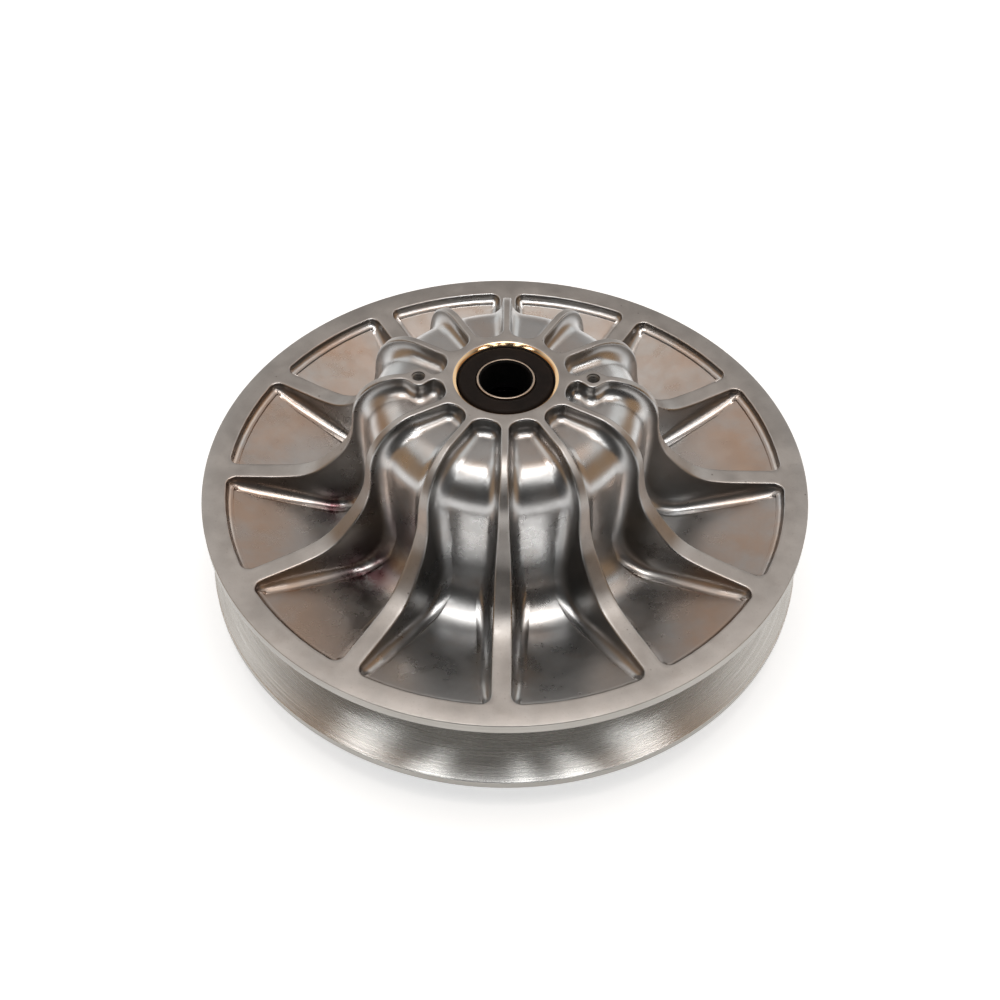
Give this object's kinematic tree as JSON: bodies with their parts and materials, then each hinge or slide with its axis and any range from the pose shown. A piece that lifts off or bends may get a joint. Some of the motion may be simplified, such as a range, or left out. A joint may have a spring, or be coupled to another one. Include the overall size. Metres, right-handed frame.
{
  "type": "driven variator pulley",
  "caption": "Driven pulley of a rubber-belt variator: ribbed bell sheave sliding and turning on a post against a spring, over a fixed sheave.",
  "frame": {"origin": "on the pulley's axis, in the plane of the fixed sheave hub's lowest face", "axes": "+Z along the axis, from the fixed sheave towards the bell's hub; +X through one of the two tapped holes"},
  "size_m": [0.2746, 0.2746, 0.12],
  "materials": {
    "cast_aluminium": "die-cast, satin on the crests and bright in the pockets",
    "steel": "turned and ground",
    "spring_steel": "dark, shot peened",
    "seal_rubber": "satin black",
    "bush_metal": "thin bearing metal, turned",
    "roller_plastic": "moulded bearing plastic"
  },
  "bodies": {
    "root": {"fixed_sheave": "cast_aluminium", "post": "steel", "torque_cam": "steel", "cam_key": "steel", "spring_seat": "steel", "seat_circlip": "spring_steel", "closing_spring": "spring_steel", "sheave_screw_1": "steel", "sheave_screw_2": "steel", "sheave_screw_3": "steel", "sheave_screw_4": "steel", "sheave_screw_5": "steel", "sheave_screw_6": "steel"},
    "spring_carriage": {"spring_washer": "steel"},
    "bell": {"movable_sheave": "cast_aluminium", "shaft_seal": "seal_rubber", "upper_bush": "bush_metal", "roller_carrier": "cast_aluminium", "lower_bush": "bush_metal", "roller_pin_1": "steel", "roller_pin_2": "steel", "roller_pin_3": "steel", "carrier_screw_1": "steel", "carrier_screw_2": "steel", "carrier_screw_3": "steel", "carrier_screw_4": "steel", "carrier_screw_5": "steel", "carrier_screw_6": "steel"},
    "cam_roller_a": {"cam_roller_1": "roller_plastic"},
    "cam_roller_b": {"cam_roller_2": "roller_plastic"},
    "cam_roller_c": {"cam_roller_3": "roller_plastic"}
  },
  "joints": [
    {"name": "bell_slide", "type": "slide", "parent": "root", "child": "spring_carriage", "axis": [0, 0, 1], "range_m": [0, 0.018], "stiffness_N_per_m": 8000, "deforming": ["closing_spring"]},
    {"name": "bell_turn", "type": "hinge", "parent": "spring_carriage", "child": "bell", "pos_m": [0, 0, 0.06], "axis": [0, 0, 1], "range_deg": [-1, 31]},
    {"name": "roller_spin_1", "type": "hinge", "parent": "bell", "child": "cam_roller_a", "pos_m": [0, 0.029, 0.0565], "axis": [0, 1, 0], "range_deg": [-5, 200]},
    {"name": "roller_spin_2", "type": "hinge", "parent": "bell", "child": "cam_roller_b", "pos_m": [-0.02511, -0.0145, 0.0565], "axis": [-0.866, -0.5, 0], "range_deg": [-5, 200]},
    {"name": "roller_spin_3", "type": "hinge", "parent": "bell", "child": "cam_roller_c", "pos_m": [0.02511, -0.0145, 0.0565], "axis": [0.866, -0.5, 0], "range_deg": [-5, 200]}
  ],
  "couplings": [
    {"joint": "bell_turn", "follows": "bell_slide", "rad_per_m": 29.089},
    {"joint": "roller_spin_1", "follows": "bell_slide", "rad_per_m": 186.9},
    {"joint": "roller_spin_2", "follows": "bell_slide", "rad_per_m": 186.9},
    {"joint": "roller_spin_3", "follows": "bell_slide", "rad_per_m": 186.9}
  ]
}
